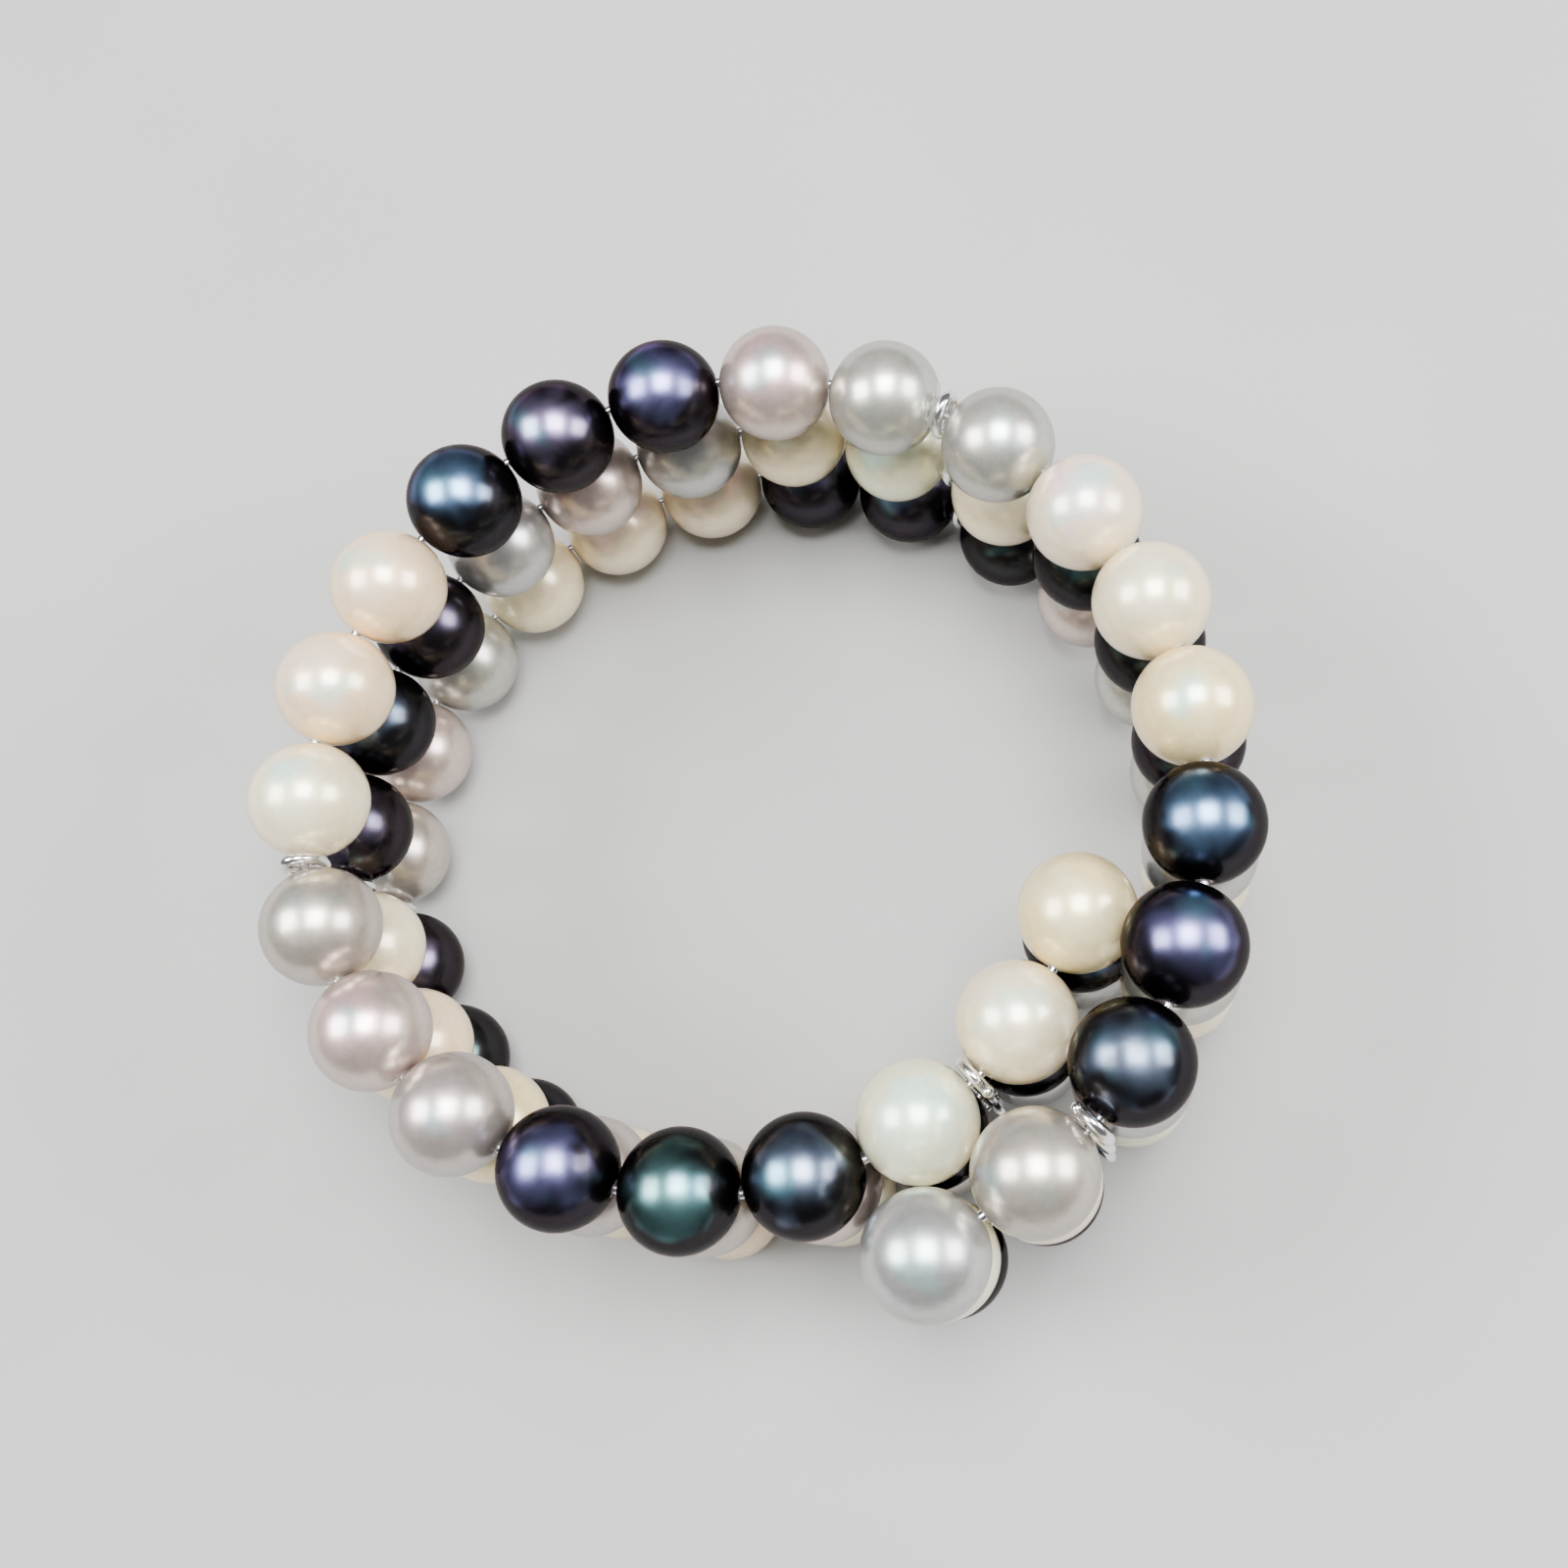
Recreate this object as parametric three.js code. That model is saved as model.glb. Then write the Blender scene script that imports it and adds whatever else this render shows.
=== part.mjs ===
// Pearl bracelet: three rows of round pearls on spring wire, kept above each other by four spacer bars.
// It is an open cuff. The rows run clockwise from the inner end, and the outer end passes outside the inner
// one, lifted by over half a row, so that its pearls nest beside those of the inner end.
// Millimetres, +Z up. The origin is the middle of the bracelet's box, on the surface that it rests on.
import * as THREE from 'three';

// Pearls
const pearlWidth = 8.2; // across the drill hole
const pearlLength = 8.0; // along the drill hole
const pearlGap = 0.18; // along the wire between two pearls
const rowGap = 0.3; // between the pearls of two rows
const pearlSides = 12; // an even number, so that one flat side faces down and one faces up
const pearlRings = [52, 17]; // degrees from the pearl's middle plane to each ring of corners

// Wire and spacer bars
const wireDiameter = 0.7;
const barThickness = 0.5; // along the wire
const barWidth = 3.4;
const barReach = 2.2; // past the axes of the top and bottom rows
const barEndSteps = 8; // straight steps round each end of a bar
const holeSides = 10;
const clearance = 0.3; // round a wire in its hole, and between a bar and the pearls beside it

// Pearls on each stretch of wire between the ends and the spacer bars
const pearlsPerStretch = [2, 7, 8, 7, 2];

// The form that the wire is sprung to, seen from above. Equal steps of turn, clockwise from the inner end,
// each with its distance from the middle of the wrist as a share of one common distance, which follows from
// the length of the threaded row.
const spiralStart = -10.5; // degrees from +X to the inner end
const spiralTurn = 422.1; // degrees from the inner end to the outer one
const spiralReach = [
  0.877, 0.864, 0.895, 0.924, 0.987, 1.041, 1.054, 1.073, 1.09, 1.096, 1.103, 1.113, 1.135, 1.176,
];
const endLift = 6.0; // outer end above the inner one
const levelShare = 0.62; // share of the row that lies level before it climbs

// Rows from the surface up, each with the colours of its groups of pearls from the inner end
const groupSize = 3;
const rows = [
  { name: 'bottom', colours: ['grey', 'white', 'dark'] },
  { name: 'middle', colours: ['dark', 'grey', 'white'] },
  { name: 'top', colours: ['white', 'dark', 'grey'] },
];
const pearlColours = {
  white: new THREE.Color(0xefe6da),
  grey: new THREE.Color(0xa9a5a3),
  dark: new THREE.Color(0x23222c),
};
const metalColour = new THREE.Color(0xc9c9cb);

const up = new THREE.Vector3(0, 0, 1);
const rowPitch = pearlWidth + rowGap;
const holeDiameter = wireDiameter + 2 * clearance;

// Places along the wire of every pearl's middle and every bar's middle, from the tip of the first pearl
function threadRow() {
  const pearls = [];
  const bars = [];
  let place = 0;
  pearlsPerStretch.forEach((count, stretch) => {
    if (stretch > 0) {
      bars.push(place + clearance + barThickness / 2);
      place += barThickness + 2 * clearance;
    }
    for (let i = 0; i < count; i += 1) {
      if (i > 0) {
        place += pearlGap;
      }
      pearls.push(place + pearlLength / 2);
      place += pearlLength;
    }
  });
  return { pearls, bars, length: place };
}

// The plan of the wire, as a flat curve of exactly the threaded length
function planCurve(length) {
  const last = spiralReach.length - 1;
  const corners = spiralReach.map((reach, i) => {
    const angle = THREE.MathUtils.degToRad(spiralStart - (spiralTurn * i) / last);
    return new THREE.Vector3(reach * Math.cos(angle), reach * Math.sin(angle), 0);
  });
  const plan = new THREE.CatmullRomCurve3(corners, false, 'catmullrom', 0.5);
  plan.arcLengthDivisions = 2000;
  const commonReach = length / plan.getLength();
  plan.points.forEach((corner) => corner.multiplyScalar(commonReach));
  plan.updateArcLengths();
  return plan;
}

// A point of a row's wire, a share of the way from its inner end: level at first, then climbing
function wirePoint(plan, height, share) {
  const lift = endLift * THREE.MathUtils.smoothstep(share, levelShare, 1);
  return plan.getPointAt(share).setZ(height + lift);
}

// A pearl sits between the two points where the wire enters and leaves it. Its Y runs along its drill hole,
// and its Z leans least from upright.
function pearlFrame(plan, height, place, length) {
  const entry = wirePoint(plan, height, (place - pearlLength / 2) / length);
  const exit = wirePoint(plan, height, (place + pearlLength / 2) / length);
  const along = new THREE.Vector3().subVectors(exit, entry).normalize();
  const across = new THREE.Vector3().crossVectors(along, up).normalize();
  const top = new THREE.Vector3().crossVectors(across, along);
  const middle = new THREE.Vector3().lerpVectors(entry, exit, 0.5);
  return new THREE.Matrix4().makeBasis(across, along, top).setPosition(middle);
}

// A pearl's rings of corners from end to end. The outer two are where the wire meets it, and its flat sides
// are pearlWidth apart.
function pearlOutline() {
  const sideAngle = Math.PI / pearlSides;
  const middleAngle = THREE.MathUtils.degToRad(pearlRings.at(-1));
  const cornerRadius = pearlWidth / 2 / Math.cos(sideAngle) / Math.cos(middleAngle);
  const half = pearlRings.map((degrees) => {
    const angle = THREE.MathUtils.degToRad(degrees);
    return { radius: cornerRadius * Math.cos(angle), along: (pearlLength / 2) * Math.sin(angle) };
  });
  const wireShare = wireDiameter / pearlWidth;
  const wireMeets = (pearlLength / 2) * Math.sqrt(1 - wireShare * wireShare);
  half.unshift({ radius: wireDiameter / 2, along: wireMeets });
  const firstHalf = half.map(({ radius, along }) => ({ radius, along: -along }));
  return [...firstHalf, ...half.reverse()];
}

// One closed skin over all the pearls of a row and the wire between them: ring after ring of corners, closed
// by a point at each end. Each corner takes the colour of its pearl.
function strandGeometry(row, frames) {
  const corners = [];
  const colours = [];
  const faces = [];
  const addCorner = (frame, radius, along, angle, colour) => {
    const corner = new THREE.Vector3(radius * Math.sin(angle), along, radius * Math.cos(angle));
    corners.push(...corner.applyMatrix4(frame).toArray());
    colours.push(...colour.toArray());
  };
  const pearlColour = (pearl) => {
    const group = Math.floor(pearl / groupSize);
    return pearlColours[row.colours[group % row.colours.length]];
  };
  const outline = pearlOutline();
  const ringCount = outline.length * frames.length;
  frames.forEach((frame, pearl) => {
    outline.forEach(({ radius, along }) => {
      for (let side = 0; side < pearlSides; side += 1) {
        const angle = ((2 * side - 1) * Math.PI) / pearlSides;
        addCorner(frame, radius, along, angle, pearlColour(pearl));
      }
    });
  });
  addCorner(frames[0], 0, -pearlLength / 2, 0, pearlColour(0));
  addCorner(frames.at(-1), 0, pearlLength / 2, 0, pearlColour(frames.length - 1));
  const startPoint = ringCount * pearlSides;
  const endPoint = startPoint + 1;
  const lastRing = (ringCount - 1) * pearlSides;
  for (let side = 0; side < pearlSides; side += 1) {
    const next = (side + 1) % pearlSides;
    for (let ring = 0; ring < ringCount - 1; ring += 1) {
      const near = ring * pearlSides;
      const far = near + pearlSides;
      faces.push(near + side, far + next, far + side);
      faces.push(near + side, near + next, far + next);
    }
    faces.push(startPoint, next, side);
    faces.push(endPoint, lastRing + side, lastRing + next);
  }
  const geometry = new THREE.BufferGeometry();
  geometry.setAttribute('position', new THREE.Float32BufferAttribute(corners, 3));
  geometry.setAttribute('color', new THREE.Float32BufferAttribute(colours, 3));
  geometry.setIndex(faces);
  geometry.computeVertexNormals();
  return geometry;
}

function makeStrand(row, level, plan, thread) {
  const height = pearlWidth / 2 + level * rowPitch;
  const frames = thread.pearls.map((place) => pearlFrame(plan, height, place, thread.length));
  const material = new THREE.MeshStandardMaterial({ vertexColors: true, roughness: 0.25, metalness: 0.1 });
  const strand = new THREE.Mesh(strandGeometry(row, frames), material);
  strand.name = `strand_${row.name}`;
  return strand;
}

function roundHole(x, y, diameter, sides) {
  const radius = diameter / 2;
  const corners = [];
  for (let i = 0; i < sides; i += 1) {
    const angle = (-2 * Math.PI * i) / sides;
    corners.push(new THREE.Vector2(x + radius * Math.cos(angle), y + radius * Math.sin(angle)));
  }
  return new THREE.Path(corners);
}

// A bar stands upright with round ends and one hole at each row's height, counted from the bottom row's axis
function barGeometry() {
  const endRadius = barWidth / 2;
  const shoulder = barReach - endRadius;
  const highest = rowPitch * (rows.length - 1);
  const rounded = new THREE.Shape();
  rounded.absarc(0, highest + shoulder, endRadius, 0, Math.PI, false);
  rounded.absarc(0, -shoulder, endRadius, Math.PI, 2 * Math.PI, false);
  rounded.closePath();
  const outline = new THREE.Shape(rounded.extractPoints(barEndSteps).shape);
  outline.holes = rows.map((row, level) => roundHole(0, level * rowPitch, holeDiameter, holeSides));
  const geometry = new THREE.ExtrudeGeometry(outline, { depth: barThickness, bevelEnabled: false });
  geometry.translate(0, 0, -barThickness / 2);
  return geometry.rotateX(Math.PI / 2);
}

// A bar stands across the wires, its holes on the wires of all rows
function makeBar(number, plan, share) {
  const material = new THREE.MeshStandardMaterial({ color: metalColour, roughness: 0.2, metalness: 1 });
  const bar = new THREE.Mesh(barGeometry(), material);
  const along = plan.getTangentAt(share);
  bar.name = `spacer_bar_${number}`;
  bar.position.copy(wirePoint(plan, pearlWidth / 2, share));
  bar.rotation.z = Math.atan2(-along.x, along.y);
  return bar;
}

function makeBracelet() {
  const bracelet = new THREE.Group();
  const thread = threadRow();
  const plan = planCurve(thread.length);
  rows.forEach((row, level) => bracelet.add(makeStrand(row, level, plan, thread)));
  thread.bars.forEach((place, i) => bracelet.add(makeBar(i + 1, plan, place / thread.length)));
  const middle = new THREE.Box3().setFromObject(bracelet).getCenter(new THREE.Vector3());
  bracelet.position.set(-middle.x, -middle.y, 0);
  return bracelet;
}

export default makeBracelet();
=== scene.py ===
import math
import random

import bpy
from mathutils import Matrix, Vector, noise


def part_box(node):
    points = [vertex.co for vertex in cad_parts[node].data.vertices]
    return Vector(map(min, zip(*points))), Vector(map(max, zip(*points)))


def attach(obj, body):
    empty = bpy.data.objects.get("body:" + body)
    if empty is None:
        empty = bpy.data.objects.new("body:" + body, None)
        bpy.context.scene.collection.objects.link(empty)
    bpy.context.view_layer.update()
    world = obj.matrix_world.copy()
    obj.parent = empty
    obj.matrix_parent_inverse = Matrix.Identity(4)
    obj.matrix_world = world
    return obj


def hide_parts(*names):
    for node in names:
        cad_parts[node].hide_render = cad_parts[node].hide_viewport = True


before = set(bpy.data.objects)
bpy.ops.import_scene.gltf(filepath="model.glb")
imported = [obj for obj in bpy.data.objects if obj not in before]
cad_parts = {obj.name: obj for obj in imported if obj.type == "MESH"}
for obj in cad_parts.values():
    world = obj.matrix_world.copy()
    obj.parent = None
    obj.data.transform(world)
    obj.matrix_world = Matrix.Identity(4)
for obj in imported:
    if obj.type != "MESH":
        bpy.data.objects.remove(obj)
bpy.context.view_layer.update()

MM = 0.001

# Pearls and the thread that they sit on, as in the solids
PEARL_WIDTH = 8.2 * MM
PEARL_LENGTH = 8.0 * MM
PEARL_GAP = 0.18 * MM
ROW_GAP = 0.3 * MM
ROW_PITCH = PEARL_WIDTH + ROW_GAP
WIRE_DIAMETER = 0.7 * MM
BAR_THICKNESS = 0.5 * MM
BAR_WIDTH = 3.4 * MM
BAR_REACH = 2.2 * MM  # past the axes of the top and bottom rows
CLEARANCE = 0.3 * MM
PEARLS_PER_STRETCH = (2, 7, 8, 7, 2)
SPIRAL_START = -10.5  # degrees
SPIRAL_TURN = 422.1  # degrees, clockwise
SPIRAL_REACH = (
    0.877, 0.864, 0.895, 0.924, 0.987, 1.041, 1.054, 1.073, 1.09, 1.096, 1.103, 1.113, 1.135, 1.176,
)
END_LIFT = 6.0 * MM
LEVEL_SHARE = 0.62  # of the row, before it climbs
ARC_STEPS = 2000
TANGENT_SHARE = 0.002  # of the wire on each side of a bar, for its direction there
UP = Vector((0, 0, 1))

# Finer form of a pearl
PEARL_SIDES = 64
PEARL_RINGS = 40
DRILL_RADIUS = 0.46 * MM
DRILL_DEPTH = 0.9 * MM
RIM_ROUNDING = 0.05 * MM
RIM_REACH = 0.55 * MM  # how far the worn nacre reaches from the drill hole
CHIPPED = ("top", 16)  # row and place of a pearl with chipped nacre beside its bar
CHIP_REACH = 3.4 * MM
DENT_DEPTH = 0.035 * MM
DENT_SCALE = 190  # dents to a metre
NOISE_REACH = 50  # each pearl takes its dents from up to this far away in the noise
SQUAT_SHARE = 0.025  # the most that a pearl is narrower than PEARL_WIDTH

# Finer form of a bar: an upright oval eye round each row's wire, with thin strips between the eyes
EYE_THICKNESS = 0.76 * MM
STRIP_THICKNESS = 0.44 * MM
STRIP_WIDTH = 1.3 * MM
STRIP_OVERLAP = 0.4 * MM  # of a strip's end with an eye
BEAD_RADIUS = 0.42 * MM
BEAD_LIFT = 0.55 * BAR_REACH  # above the axis of the top row
BEAD_SIDES = {1: -1, 4: 1}  # bars with a drop of solder on their top eye: 1 inside, -1 outside

GROUP_SIZE = 3
ROWS = {
    "bottom": ("grey", "white", "dark"),
    "middle": ("dark", "grey", "white"),
    "top": ("white", "dark", "grey"),
}

# Body colour and overtone of the pearls, by the maker's names for them; the overtone is laid on each
# pearl's upper side, partly the pearl's own overtone and partly a painted highlight
TONES = {
    "white": {
        "cream": ((0.90, 0.73, 0.38), (0.93, 0.84, 0.49)),
        "peach": ((0.94, 0.71, 0.44), (0.98, 0.78, 0.60)),
        "rose": ((0.92, 0.78, 0.56), (0.98, 0.70, 0.69)),
        "mint": ((0.85, 0.84, 0.58), (0.72, 0.92, 0.74)),
        "pure": ((0.92, 0.80, 0.52), (0.95, 0.88, 0.65)),
    },
    "grey": {
        "silver": ((0.53, 0.53, 0.47), (0.66, 0.65, 0.58)),
        "mauve": ((0.54, 0.48, 0.44), (0.68, 0.58, 0.56)),
        "taupe": ((0.55, 0.49, 0.42), (0.68, 0.61, 0.52)),
        "pale": ((0.67, 0.55, 0.49), (0.92, 0.64, 0.63)),
        "cool": ((0.52, 0.52, 0.50), (0.64, 0.62, 0.65)),
    },
    "dark": {
        "steel": ((0.023, 0.023, 0.028), (0.17, 0.22, 0.32)),
        "sea": ((0.022, 0.023, 0.025), (0.14, 0.30, 0.31)),
        "violet": ((0.026, 0.022, 0.032), (0.19, 0.19, 0.40)),
        "cyan": ((0.023, 0.023, 0.029), (0.15, 0.25, 0.42)),
        "plum": ((0.028, 0.023, 0.030), (0.24, 0.20, 0.33)),
    },
}

# Tones of the top row's pearls, group by group from the inner end
TOP_TONES = (
    "cream", "pure", "mint", "steel", "sea", "violet", "mauve", "pale", "taupe",
    "pure", "peach", "peach", "cyan", "plum", "violet", "pale", "silver", "silver",
    "rose", "pure", "cream", "cyan", "violet", "steel", "taupe", "cool",
)


def threaded_row():
    """Places along the wire of every pearl's middle and every bar's middle, and the wire's length."""
    pearls, bars, place = [], [], 0
    for stretch, count in enumerate(PEARLS_PER_STRETCH):
        if stretch > 0:
            bars.append(place + CLEARANCE + BAR_THICKNESS / 2)
            place += BAR_THICKNESS + 2 * CLEARANCE
        for i in range(count):
            place += PEARL_GAP if i > 0 else 0
            pearls.append(place + PEARL_LENGTH / 2)
            place += PEARL_LENGTH
    return pearls, bars, place


class Plan:
    """The wire seen from above: a smooth curve through the spiral's corners, as long as the wire."""

    def __init__(self, length):
        last = len(SPIRAL_REACH) - 1
        turns = [math.radians(SPIRAL_START - SPIRAL_TURN * i / last) for i in range(last + 1)]
        self.corners = [r * Vector((math.cos(t), math.sin(t), 0)) for r, t in zip(SPIRAL_REACH, turns)]
        steps = [self.between(i / ARC_STEPS) for i in range(ARC_STEPS + 1)]
        self.travelled = [0.0]
        for a, b in zip(steps, steps[1:]):
            self.travelled.append(self.travelled[-1] + (b - a).length)
        self.scale = length / self.travelled[-1]

    def between(self, t):
        last = len(self.corners) - 1
        span = min(int(t * last), last - 1)
        w = t * last - span
        b, c = self.corners[span], self.corners[span + 1]
        a = self.corners[span - 1] if span > 0 else 2 * b - c
        d = self.corners[span + 2] if span + 2 <= last else 2 * c - b
        start, end = (c - a) / 2, (d - b) / 2
        return b + w * start + w**2 * (3 * (c - b) - 2 * start - end) + w**3 * (2 * (b - c) + start + end)

    def at(self, share):
        """The point that a share of the wire's length leads to."""
        goal = min(max(share, 0), 1) * self.travelled[-1]
        low, high = 0, ARC_STEPS
        while high - low > 1:
            middle = (low + high) // 2
            low, high = (middle, high) if self.travelled[middle] <= goal else (low, middle)
        step = self.travelled[high] - self.travelled[low]
        return self.scale * self.between((low + (goal - self.travelled[low]) / step) / ARC_STEPS)


PEARLS, BARS, WIRE_LENGTH = threaded_row()
PLAN = Plan(WIRE_LENGTH)


def plan_shift():
    """How far the curve lies from where the solids are, read from the spacer bars' boxes."""
    gaps = []
    for number, place in enumerate(BARS, 1):
        low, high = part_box(f"spacer_bar_{number}")
        gaps.append((low + high) / 2 - PLAN.at(place / WIRE_LENGTH))
    mean = sum(gaps, Vector()) / len(gaps)
    return Vector((mean.x, mean.y, 0))


SHIFT = plan_shift()


def wire_point(height, share):
    climb = min(max((share - LEVEL_SHARE) / (1 - LEVEL_SHARE), 0), 1)
    lift = END_LIFT * climb * climb * (3 - 2 * climb)
    return PLAN.at(share) + SHIFT + Vector((0, 0, height + lift))


def pearl_frame(height, place):
    """A pearl's own axes, with Y along its drill hole and Z as upright as that allows."""
    entry = wire_point(height, (place - PEARL_LENGTH / 2) / WIRE_LENGTH)
    leave = wire_point(height, (place + PEARL_LENGTH / 2) / WIRE_LENGTH)
    along = (leave - entry).normalized()
    across = along.cross(UP).normalized()
    axes = Matrix((across, along, across.cross(along))).transposed().to_4x4()
    return Matrix.Translation((entry + leave) / 2) @ axes


class Skin:
    """Corners, faces and values of a mesh that grows ring by ring."""

    def __init__(self):
        self.corners, self.faces, self.values = [], [], {}

    def ring(self, points, **values):
        start = len(self.corners)
        self.corners.extend(points)
        for name, value in values.items():
            each = value if isinstance(value, list) else [value] * len(points)
            self.values.setdefault(name, []).extend(each)
        return list(range(start, len(self.corners)))

    def join(self, near, far):
        count = len(near)
        for i in range(count):
            j = (i + 1) % count
            self.faces.append((near[i], near[j], far[j], far[i]))

    def close(self, ring, flip=False):
        self.faces.append(tuple(ring if flip else reversed(ring)))

    def piece(self, name, material):
        mesh = bpy.data.meshes.new(name)
        mesh.from_pydata([tuple(c) for c in self.corners], [], self.faces)
        for value_name, values in self.values.items():
            is_colour = not isinstance(values[0], (int, float))
            layer = mesh.attributes.new(value_name, "FLOAT_COLOR" if is_colour else "FLOAT", "POINT")
            for item, value in zip(layer.data, values):
                if is_colour:
                    item.color = (*value, 1)
                else:
                    item.value = value
        mesh.shade_smooth()
        mesh.materials.append(material)
        piece = bpy.data.objects.new(name, mesh)
        bpy.context.scene.collection.objects.link(piece)
        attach(piece, "root")
        return piece


def pearl_outline(drilled, reach):
    """Rings of one half of a pearl, from its middle plane to its end: radius, place and wear."""
    rings = []
    limit = math.acos(DRILL_RADIUS / (PEARL_WIDTH / 2)) if drilled else math.pi / 2
    count = PEARL_RINGS // 2
    for i in range(1, count + 1):
        angle = limit * i / (count + (0 if drilled else 1))
        radius = PEARL_WIDTH / 2 * math.cos(angle)
        wear = max(0, 1 - (radius - DRILL_RADIUS) / reach) if drilled else 0
        rings.append((radius, PEARL_LENGTH / 2 * math.sin(angle), wear))
    if drilled:
        rim = rings[-1][1]
        bore = DRILL_RADIUS - 1.4 * RIM_ROUNDING
        rings.append((DRILL_RADIUS - RIM_ROUNDING, rim - 0.3 * RIM_ROUNDING, 1))
        rings.append((bore, rim - 2 * RIM_ROUNDING, 1))
        rings.append((bore, rim - DRILL_DEPTH, 1))
    return rings


def add_pearl(skin, place, ends_drilled, reaches, body, glow, draw):
    """A slightly squat and dented pearl, drilled where the wire goes on."""
    squat = 1 - SQUAT_SHARE * draw.random() ** 2
    far_off = NOISE_REACH * Vector([draw.uniform(-1, 1) for _ in range(3)])
    first, second = (pearl_outline(*end) for end in zip(ends_drilled, reaches))
    outline = [(r, -y, wear) for r, y, wear in reversed(first)]
    outline.append((PEARL_WIDTH / 2, 0, 0))
    outline.extend(second)
    centre = place.translation
    rings = []
    for radius, along, wear in outline:
        points, upper = [], []
        for side in range(PEARL_SIDES):
            turn = math.tau * side / PEARL_SIDES
            point = Vector((radius * math.sin(turn) * squat, along, radius * math.cos(turn) * squat))
            dent = 0.5 + 0.5 * noise.noise(point * DENT_SCALE + far_off)
            if radius > DRILL_RADIUS:
                point -= point.normalized() * DENT_DEPTH * dent
            points.append(place @ point)
            # How upward each point faces, which lays the overtone's painted highlight on the pearl's
            # upper side
            upper.append((points[-1] - centre).normalized().z)
        rings.append(skin.ring(points, body=body, glow=glow, wear=wear, upper=upper))
    for near, far in zip(rings, rings[1:]):
        skin.join(near, far)
    if not ends_drilled[0]:
        skin.close(rings[0])
    if not ends_drilled[1]:
        skin.close(rings[-1], flip=True)


def make_pearls(row, level, finishes):
    """The pearls of a row, one piece for each colour."""
    draw = random.Random(f"pearls {row}")
    height = PEARL_WIDTH / 2 + level * ROW_PITCH
    skins = {colour: Skin() for colour in TONES}
    for i, place in enumerate(PEARLS):
        colour = ROWS[row][(i // GROUP_SIZE) % GROUP_SIZE]
        tone = TOP_TONES[i] if row == "top" else draw.choice(sorted(TONES[colour]))
        body, glow = TONES[colour][tone]
        ends_drilled = (i > 0, i < len(PEARLS) - 1)
        reaches = (RIM_REACH, CHIP_REACH if (row, i) == CHIPPED else RIM_REACH)
        add_pearl(skins[colour], pearl_frame(height, place), ends_drilled, reaches, body, glow, draw)
    for colour, skin in skins.items():
        piece = skin.piece(f"pearls_{row}_{colour}", finishes[colour])
        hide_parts(f"strand_{row}")


def sweep(skin, points, section, sides):
    """A tube through the points, whose section gives its radius at each, with flat ends."""
    rings = []
    for i, (point, radius) in enumerate(zip(points, section)):
        ahead = points[min(i + 1, len(points) - 1)] - points[max(i - 1, 0)]
        across = ahead.cross(UP).normalized()
        rise = across.cross(ahead.normalized())
        spokes = []
        for side in range(sides):
            turn = math.tau * side / sides
            spokes.append(math.sin(turn) * across + math.cos(turn) * rise)
        rings.append(skin.ring([point + radius * spoke for spoke in spokes]))
    for near, far in zip(rings, rings[1:]):
        skin.join(near, far)
    skin.close(rings[0])
    skin.close(rings[-1], flip=True)


WIRE_SIDES = 16
WIRE_STEP = 0.5 * MM


def make_wire(row, level, finish):
    """A row's spring wire, from the middle of its first pearl to the middle of its last."""
    skin = Skin()
    height = PEARL_WIDTH / 2 + level * ROW_PITCH
    steps = round((PEARLS[-1] - PEARLS[0]) / WIRE_STEP)
    places = [PEARLS[0] + (PEARLS[-1] - PEARLS[0]) * i / steps for i in range(steps + 1)]
    points = [wire_point(height, place / WIRE_LENGTH) for place in places]
    sweep(skin, points, [WIRE_DIAMETER / 2] * len(points), WIRE_SIDES)
    piece = skin.piece(f"wire_{row}", finish)
    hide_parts(f"strand_{row}")


STRIP_CORNERS = 24  # of each round end
STRIP_LAYERS = 8
EYE_SIDES = 24
EYE_STEPS = 72
BEAD_STEPS = 12
AHEAD = Vector((0, 1, 0))


def strip_outline(inset, low, high):
    """A strip's outline, a stadium, counter-clockwise seen along the wire."""
    radius = STRIP_WIDTH / 2 - inset
    points = []
    for centre, first in ((high - STRIP_WIDTH / 2, 0), (low + STRIP_WIDTH / 2, math.pi)):
        for i in range(STRIP_CORNERS + 1):
            turn = first + math.pi * i / STRIP_CORNERS
            points.append((radius * math.cos(turn), centre + radius * math.sin(turn)))
    return points


def add_strip(skin, place, low, high):
    """A strip with round edges."""
    rings = []
    for i in range(STRIP_LAYERS + 1):
        turn = math.pi * (i / STRIP_LAYERS - 0.5)
        inset = STRIP_THICKNESS / 2 * (1 - math.cos(turn))
        y = STRIP_THICKNESS / 2 * math.sin(turn)
        outline = strip_outline(inset, low, high)
        rings.append(skin.ring([place @ Vector((x, y, z)) for x, z in outline]))
    for near, far in zip(rings, rings[1:]):
        skin.join(far, near)
    skin.close(rings[0], flip=True)
    skin.close(rings[-1])


def add_eye(skin, place, height):
    """An upright oval ring of round wire about a row's axis."""
    thickness = EYE_THICKNESS / 2
    width, rise = BAR_WIDTH / 2 - thickness, BAR_REACH - thickness
    rings = []
    for i in range(EYE_STEPS):
        turn = math.tau * i / EYE_STEPS
        middle = Vector((width * math.cos(turn), 0, height + rise * math.sin(turn)))
        out = Vector((math.cos(turn) / width, 0, math.sin(turn) / rise)).normalized()
        points = []
        for side in range(EYE_SIDES):
            swing = math.tau * side / EYE_SIDES
            spoke = math.cos(swing) * out + math.sin(swing) * AHEAD
            points.append(place @ (middle + thickness * spoke))
        rings.append(skin.ring(points))
    for near, far in zip(rings, rings[1:] + rings[:1]):
        skin.join(far, near)


def add_bead(skin, centre):
    """A drop of solder."""
    turns = [math.pi * (i + 0.5) / BEAD_STEPS for i in range(BEAD_STEPS)]
    points = [centre - BEAD_RADIUS * math.cos(t) * AHEAD for t in turns]
    sweep(skin, points, [BEAD_RADIUS * math.sin(t) for t in turns], EYE_SIDES)


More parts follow.
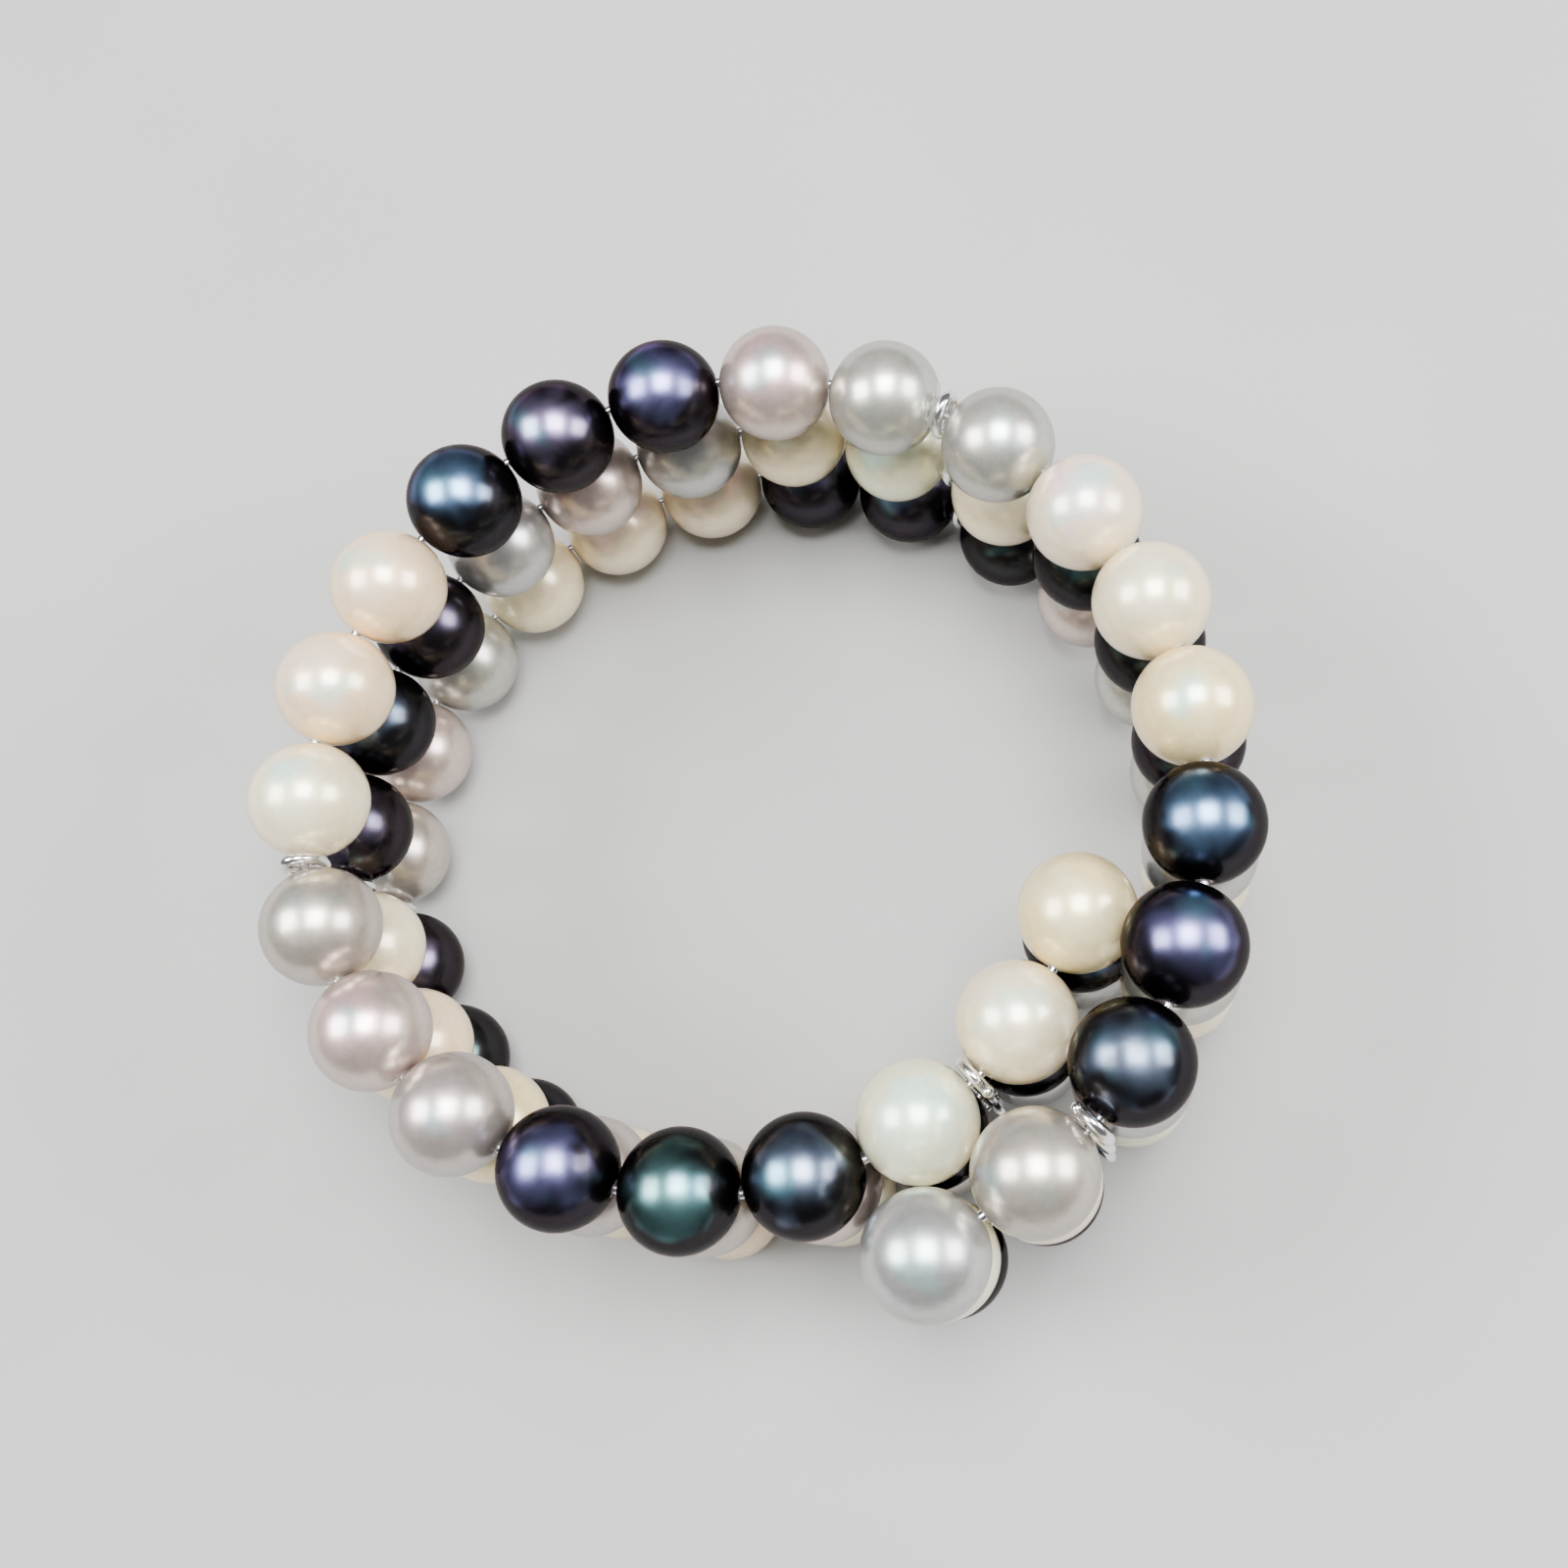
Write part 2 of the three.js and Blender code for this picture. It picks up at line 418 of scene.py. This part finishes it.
def make_bar(number, place, finish):
    """A spacer bar, upright across the wires of all rows."""
    share = place / WIRE_LENGTH
    centre = wire_point(PEARL_WIDTH / 2, share)
    ahead = PLAN.at(share + TANGENT_SHARE) - PLAN.at(share - TANGENT_SHARE)
    turned = Matrix.Translation(centre) @ Matrix.Rotation(math.atan2(-ahead.x, ahead.y), 4, "Z")
    skin = Skin()
    for level in range(len(ROWS)):
        add_eye(skin, turned, level * ROW_PITCH)
    reach = BAR_REACH - STRIP_OVERLAP
    for level in range(len(ROWS) - 1):
        add_strip(skin, turned, level * ROW_PITCH + reach, (level + 1) * ROW_PITCH - reach)
    if number in BEAD_SIDES:
        top = (len(ROWS) - 1) * ROW_PITCH + BEAD_LIFT
        aside = BEAD_SIDES[number] * (BAR_WIDTH / 2 - BEAD_RADIUS)
        add_bead(skin, turned @ Vector((aside, 0, top)))
    piece = skin.piece(f"bar_{number}", finish)
    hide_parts(f"spacer_bar_{number}")


class Number:
    """A shader socket that carries a number, on which Python's operators add Math nodes."""

    def __init__(self, finish, socket):
        self.finish, self.socket = finish, socket

    def _math(self, operation, a, b):
        made = self.finish.node("Math", {"operation": operation}, {0: a, 1: b})
        return Number(self.finish, made.outputs[0])

    def __add__(self, other):
        return self._math("ADD", self, other)

    __radd__ = __add__

    def __mul__(self, other):
        return self._math("MULTIPLY", self, other)

    __rmul__ = __mul__

    def __sub__(self, other):
        return self._math("SUBTRACT", self, other)

    def __rsub__(self, other):
        return self._math("SUBTRACT", other, self)


class Finish:
    """A material whose nodes are added one by one."""

    def __init__(self, name):
        self.material = bpy.data.materials.new(name)
        self.material.use_nodes = True
        self.tree = self.material.node_tree
        self.tree.nodes.clear()

    def node(self, kind, settings=None, sockets=None):
        made = self.tree.nodes.new(f"ShaderNode{kind}")
        for name, value in (settings or {}).items():
            setattr(made, name, value)
        for name, value in (sockets or {}).items():
            self.feed(made.inputs[name], value)
        return made

    def feed(self, socket, value):
        if isinstance(value, Number):
            value = value.socket
        if isinstance(value, bpy.types.NodeSocket):
            self.tree.links.new(value, socket)
        elif isinstance(value, tuple) and len(value) == 3 and socket.type == "RGBA":
            socket.default_value = (*value, 1)
        else:
            socket.default_value = value

    def mix(self, factor, a, b, blend="MIX"):
        """One colour mixed over another."""
        made = self.node("Mix", {"data_type": "RGBA", "blend_type": blend}, {0: factor, 6: a, 7: b})
        return made.outputs[2]

    def clouds(self, scale, detail=2.0, warp=0.0):
        """Soft noise in object coordinates, whose scale is in clouds to a metre."""
        place = self.node("TexCoord").outputs["Object"]
        made = self.node("TexNoise", None, {
            "Vector": place, "Scale": scale, "Detail": detail, "Roughness": 0.5, "Distortion": warp,
        })
        return Number(self, made.outputs["Fac"])

    def fade(self, value, low, high):
        """0 below low, 1 above high and smooth in between."""
        made = self.node("MapRange", {"interpolation_type": "SMOOTHSTEP"}, {
            "Value": value, "From Min": low, "From Max": high,
        })
        return Number(self, made.outputs["Result"])

    def stored(self, name):
        """A value that the mesh stores, as a colour and as a number."""
        made = self.node("Attribute", {"attribute_name": name})
        return made.outputs["Color"], Number(self, made.outputs["Fac"])

    def surface(self, sockets):
        shader = self.node("BsdfPrincipled", None, sockets)
        self.node("OutputMaterial", None, {"Surface": shader.outputs["BSDF"]})
        return self.material


# Nacre: each noise has its scale, in clouds to a metre, how far it spreads what it shifts, and the limits
# between which that fades in
# The overtone and patch noises lay painted highlight and painted sheen on each pearl's upper side, where
# the lamps' highlights fall
OVERTONE_AND_HIGHLIGHT_SCALE, OVERTONE_AND_HIGHLIGHT_SPREAD, OVERTONE_AND_HIGHLIGHT_FADE = 300, 0.8, (0.62, 1.08)
PATCH_SCALE, PATCH_SPREAD, PATCH_FADE = 330, 1.5, (0.9, 1.4)
PATCH_STRENGTH = 0.7
MOTTLE_SCALE, MOTTLE_FADE = 1700, (0.3, 0.7)
MOTTLE_SHADE = (0.25, 0.22, 0.24)
CHIP_SCALE, CHIP_SPREAD, CHIP_FADE = 2600, 1.1, (0.62, 0.78)
CHIP_ROUGHNESS = 0.2  # on top of the nacre's own
GLOSS_SCALE, GLOSS_SPREAD = 420, 0.12
PIT_SCALE, PIT_FADE = 210, (0.02, 0.06)
RIPPLE_SCALE = 900
MOTTLE_HEIGHT, CHIP_HEIGHT, PIT_HEIGHT = 0.25, 1.5, 1.6  # against the ripples
NACRE_RELIEF = 0.02 * MM


def nacre(name, constants, second_glow, worn, mottle, roughness):
    """Nacre: a body colour, two overtones in uneven zones of the upper side that are partly real overtone
    and partly painted highlight and sheen, mottling and worn holes.
    """
    finish = Finish(name)
    body, _ = finish.stored("body")
    glow, _ = finish.stored("glow")
    _, wear = finish.stored("wear")
    _, upper = finish.stored("upper")
    # Painted highlight: the overtone colour fills each pearl's upper side, where the lamps' highlights
    # fall, and is dark body colour elsewhere
    clouds = finish.clouds(OVERTONE_AND_HIGHLIGHT_SCALE, 1.0, 0.8)
    overtone_highlight_zone = finish.fade(upper + (clouds - 0.5) * OVERTONE_AND_HIGHLIGHT_SPREAD, *OVERTONE_AND_HIGHLIGHT_FADE)
    # Painted sheen: a second overtone in patches on the very top of each pearl, inside the painted
    # highlight
    blots = finish.clouds(PATCH_SCALE, 0.0)
    overtone_sheen_patch = finish.fade(upper + (blots - 0.5) * PATCH_SPREAD, *PATCH_FADE)
    colour = finish.mix(overtone_highlight_zone, body, glow)
    colour = finish.mix(overtone_sheen_patch * PATCH_STRENGTH, colour, second_glow)
    fine = finish.clouds(MOTTLE_SCALE, 3.0)
    tone = finish.fade(fine, *MOTTLE_FADE)
    colour = finish.mix(tone * mottle, colour, MOTTLE_SHADE, "MULTIPLY")
    crumbs = finish.clouds(CHIP_SCALE, 3.0)
    chips = finish.fade(wear + (crumbs - 0.5) * CHIP_SPREAD, *CHIP_FADE)
    colour = finish.mix(chips, colour, worn)
    pits = finish.node("TexVoronoi", {"feature": "F1"}, {
        "Vector": finish.node("TexCoord").outputs["Object"], "Scale": PIT_SCALE,
    })
    pit = 1 - finish.fade(Number(finish, pits.outputs["Distance"]), *PIT_FADE)
    height = finish.clouds(RIPPLE_SCALE) + fine * MOTTLE_HEIGHT
    height = height + crumbs * wear * CHIP_HEIGHT - pit * PIT_HEIGHT
    bump = finish.node("Bump", None, {"Strength": 0.35, "Distance": NACRE_RELIEF, "Height": height})
    gloss = (finish.clouds(GLOSS_SCALE) - 0.5) * GLOSS_SPREAD
    sockets = {
        "Base Color": colour,
        "Roughness": gloss + chips * CHIP_ROUGHNESS + roughness,
        "Normal": bump.outputs["Normal"],
    }
    return finish.surface({**sockets, **constants})


# Metal, with its noises in clouds to a metre
HAZE_SCALE = 700
HAZE_SHADE_FADE = (0.35, 0.75)
HAZE_GLOSS_FADE = (0.4, 0.9)
HAZE_STRENGTH = 0.25
GRAIN_SCALE = 5200
GRAIN_STRENGTH = 0.3
HAMMER_SCALE = 1500
TARNISH = 0.6  # brightness of the duller spots
SILVER_RELIEF = 0.0006 * MM
WIRE_RELIEF = 0.002 * MM


def polished_metal(name, colour, low, high, relief):
    """Metal with a faint grain, whose roughness changes between low and high."""
    finish = Finish(name)
    haze = finish.clouds(HAZE_SCALE, 3.0)
    grain = finish.clouds(GRAIN_SCALE, 2.0, 0.4)
    dull = tuple(c * TARNISH for c in colour)
    shade = finish.mix(finish.fade(haze, *HAZE_SHADE_FADE) * HAZE_STRENGTH, colour, dull)
    gloss = finish.fade(haze + grain * GRAIN_STRENGTH, *HAZE_GLOSS_FADE)
    bump = finish.node("Bump", None, {
        "Strength": 0.3, "Distance": relief, "Height": grain + finish.clouds(HAMMER_SCALE),
    })
    return finish.surface({
        "Base Color": shade,
        "Metallic": 1.0,
        "Roughness": gloss * (high - low) + low,
        "Normal": bump.outputs["Normal"],
    })


def make_finishes():
    # Each second overtone is painted sheen on the tops of the pearls, partly the nacre's own colour
    pearls = {
        "white": nacre("nacre_white", {
            "Metallic": 0.3, "IOR": 1.6, "Specular Tint": (1.0, 0.78, 0.6),
            "Subsurface Weight": 0.15, "Subsurface Scale": 1.0 * MM, "Subsurface Radius": (1.0, 0.8, 0.6),
            "Coat Weight": 1.0, "Coat Roughness": 0.17, "Coat IOR": 1.6,
            "Thin Film Thickness": 380.0, "Thin Film IOR": 1.5,
        }, second_glow=(0.52, 0.87, 0.79), worn=(0.92, 0.88, 0.80), mottle=0.10, roughness=0.33),
        "grey": nacre("nacre_grey", {
            "Metallic": 0.8, "IOR": 1.6, "Specular Tint": (0.42, 0.38, 0.4),
            "Coat Weight": 0.8, "Coat Roughness": 0.17, "Coat IOR": 1.6,
            "Thin Film Thickness": 420.0, "Thin Film IOR": 1.5,
        }, second_glow=(0.42, 0.66, 0.66), worn=(0.94, 0.92, 0.86), mottle=0.14, roughness=0.33),
        "dark": nacre("nacre_dark", {
            "Metallic": 1.0, "IOR": 1.6, "Specular Tint": (0.30, 0.13, 0.14),
            "Coat Weight": 0.25, "Coat Roughness": 0.16, "Coat IOR": 1.5,
            "Thin Film Thickness": 300.0, "Thin Film IOR": 1.6,
        }, second_glow=(0.14, 0.34, 0.43), worn=(0.42, 0.40, 0.44), mottle=0.10, roughness=0.31),
    }
    return {
        **pearls,
        "silver": polished_metal("polished_silver", (0.88, 0.88, 0.89), 0.16, 0.26, SILVER_RELIEF),
        "wire": polished_metal("spring_wire", (0.74, 0.74, 0.76), 0.12, 0.28, WIRE_RELIEF),
    }


# Camera of the photograph, in the bracelet's own axes
CAMERA_PLACE = Vector((24.10, -32.03, 147.76)) * MM
CAMERA_RIGHT = Vector((0.99663, -0.011288, -0.081242))
CAMERA_UP = Vector((0.033303, 0.960855, 0.275043))
LENS = 44.99
CROP_SHIFT = (-0.11, -0.04)  # the photograph is a part of a larger frame
SENSOR = 36


def make_camera():
    lens = bpy.data.cameras.new("camera")
    lens.lens, lens.sensor_width, lens.clip_start = LENS, SENSOR, 0.01
    lens.shift_x, lens.shift_y = CROP_SHIFT
    camera = bpy.data.objects.new("camera", lens)
    axes = Matrix((CAMERA_RIGHT, CAMERA_UP, CAMERA_RIGHT.cross(CAMERA_UP))).transposed().to_4x4()
    camera.matrix_world = Matrix.Translation(CAMERA_PLACE) @ axes
    bpy.context.scene.collection.objects.link(camera)
    bpy.context.scene.camera = camera


FLOOR_WIDTH = 3.0
FLOOR_HAZE_SCALE = 25  # clouds to a metre
FLOOR_SHADES = (0.38, 0.38, 0.375), (0.40, 0.40, 0.395)
PANEL_DISTANCE = 0.6
PANEL_WIDTH = 0.28
PANELS = (  # direction from the bracelet, watts
    ((-0.66, 0.02, 0.76), 4.9),
    ((0.14, 0.10, 0.98), 8.6),
    ((0.78, 0.08, 0.52), 4.3),
)
WORLD_GREY = 0.8
WORLD_STRENGTH = 0.2


def make_floor():
    finish = Finish("floor_card")
    haze = finish.fade(finish.clouds(FLOOR_HAZE_SCALE, 3.0), 0.3, 0.7)
    shade = finish.mix(haze, *FLOOR_SHADES)
    material = finish.surface({"Base Color": shade, "Roughness": 0.8, "Specular IOR Level": 0.2})
    half = FLOOR_WIDTH / 2
    mesh = bpy.data.meshes.new("floor")
    corners = [(-half, -half, 0), (half, -half, 0), (half, half, 0), (-half, half, 0)]
    mesh.from_pydata(corners, [], [(0, 1, 2, 3)])
    mesh.materials.append(material)
    floor = bpy.data.objects.new("floor", mesh)
    bpy.context.scene.collection.objects.link(floor)


def make_lights():
    for number, (direction, watts) in enumerate(PANELS, 1):
        light = bpy.data.lights.new(f"panel_{number}", "AREA")
        light.shape, light.size, light.energy = "SQUARE", PANEL_WIDTH, watts
        panel = bpy.data.objects.new(f"panel_{number}", light)
        away = Vector(direction).normalized()
        panel.location = away * PANEL_DISTANCE
        across = Vector((0, 1, 0)).cross(away).normalized()
        axes = Matrix((across, away.cross(across), away)).transposed()
        panel.rotation_euler = axes.to_euler()
        bpy.context.scene.collection.objects.link(panel)
    world = bpy.data.worlds.new("studio")
    world.use_nodes = True
    background = world.node_tree.nodes["Background"]
    background.inputs["Color"].default_value = (WORLD_GREY, WORLD_GREY, WORLD_GREY, 1)
    background.inputs["Strength"].default_value = WORLD_STRENGTH
    bpy.context.scene.world = world


make_camera()
make_lights()
make_floor()
finishes = make_finishes()
for row_level, row_name in enumerate(ROWS):
    make_pearls(row_name, row_level, finishes)
    make_wire(row_name, row_level, finishes["wire"])
for bar_number, bar_place in enumerate(BARS, 1):
    make_bar(bar_number, bar_place, finishes["silver"])
